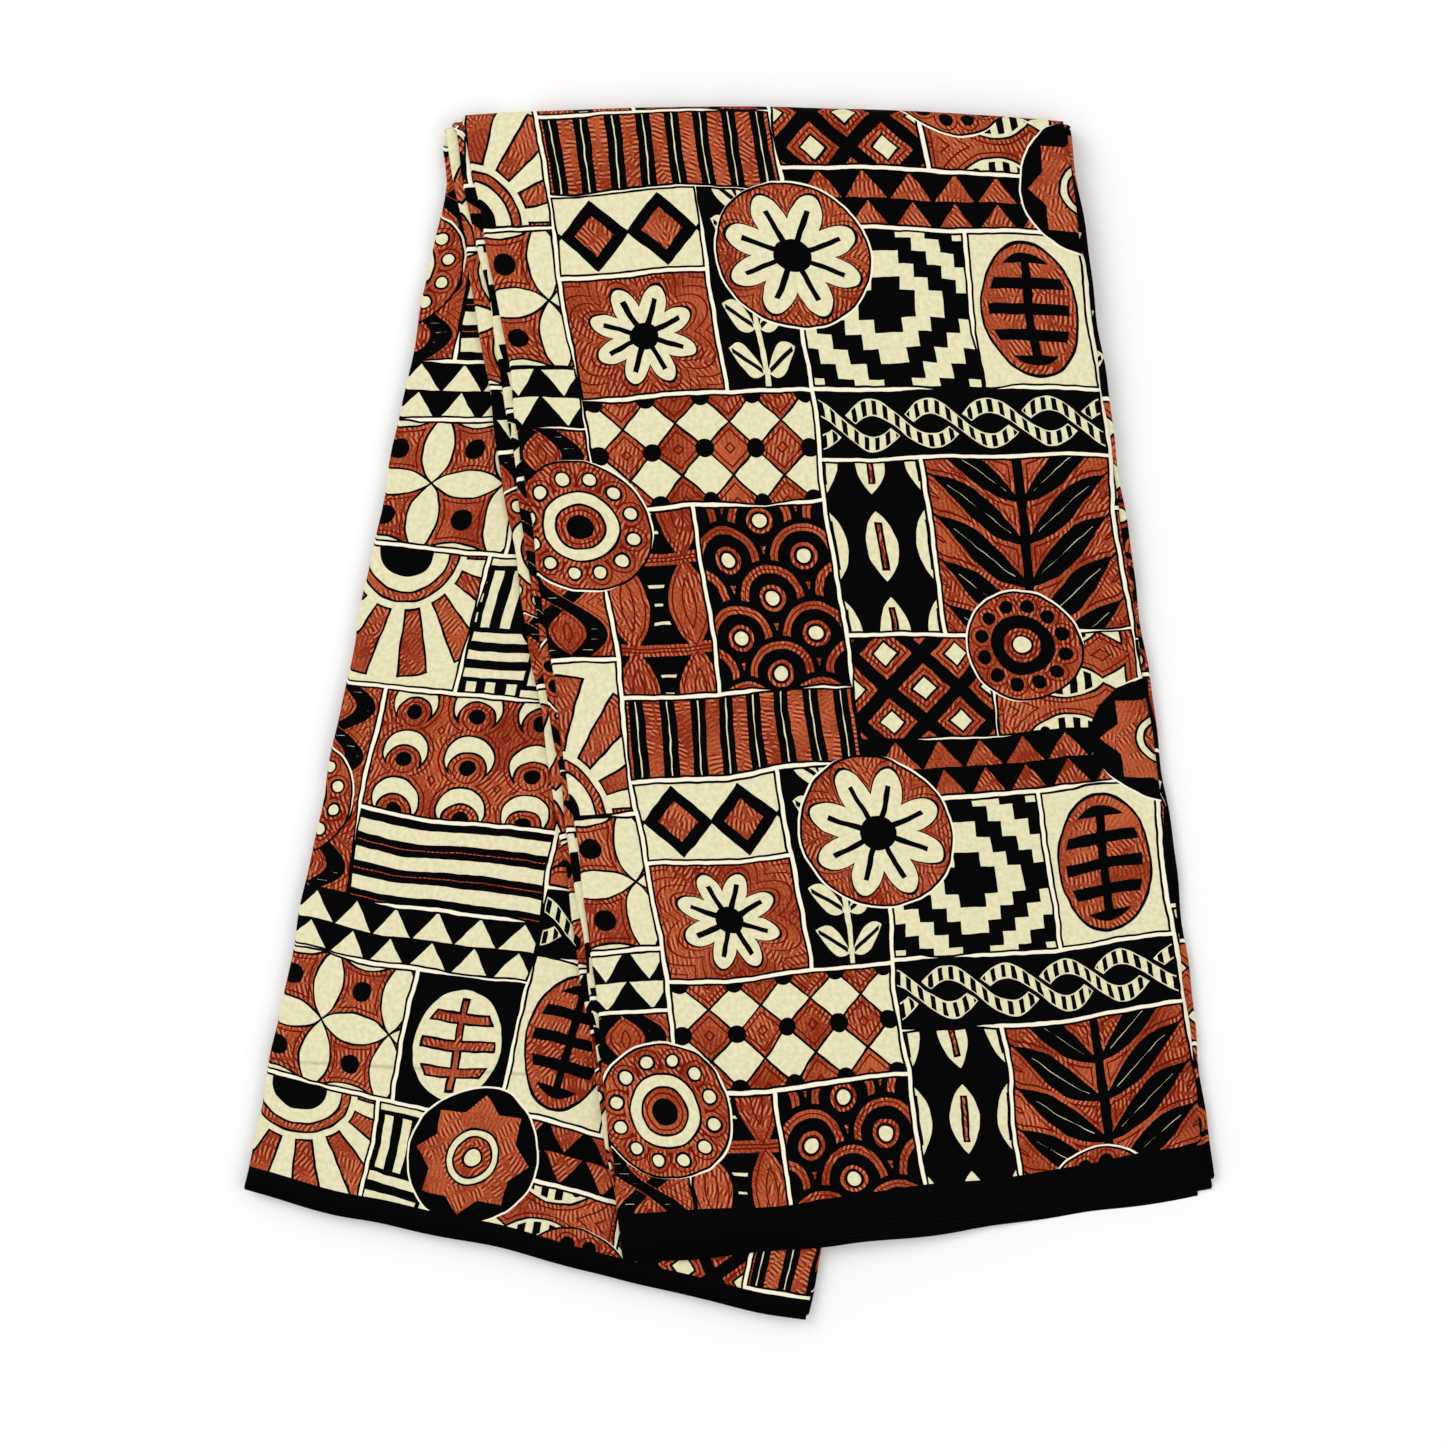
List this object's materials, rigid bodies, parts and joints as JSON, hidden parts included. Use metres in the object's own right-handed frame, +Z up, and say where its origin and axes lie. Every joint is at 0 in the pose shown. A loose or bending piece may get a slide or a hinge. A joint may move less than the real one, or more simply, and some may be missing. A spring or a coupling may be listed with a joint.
{
  "type": "folded wax print fabric",
  "caption": "Cut length of printed cotton, folded back and forth to one panel's width and doubled over at the top, lying flat.",
  "frame": {"origin": "under the middle of the cloth's box, on the surface it lies on", "axes": "+Y points to the top fold, +X to the side that the front half swings to, +Z up from the surface"},
  "size_m": [0.4999, 0.6251, 0.0188],
  "materials": {
    "printed_cotton": "matt wax print cotton in cream, rust and black, with a faint sheen and black selvedge bands"
  },
  "bodies": {
    "root": {"folded_cloth": "printed_cotton"}
  },
  "joints": []
}
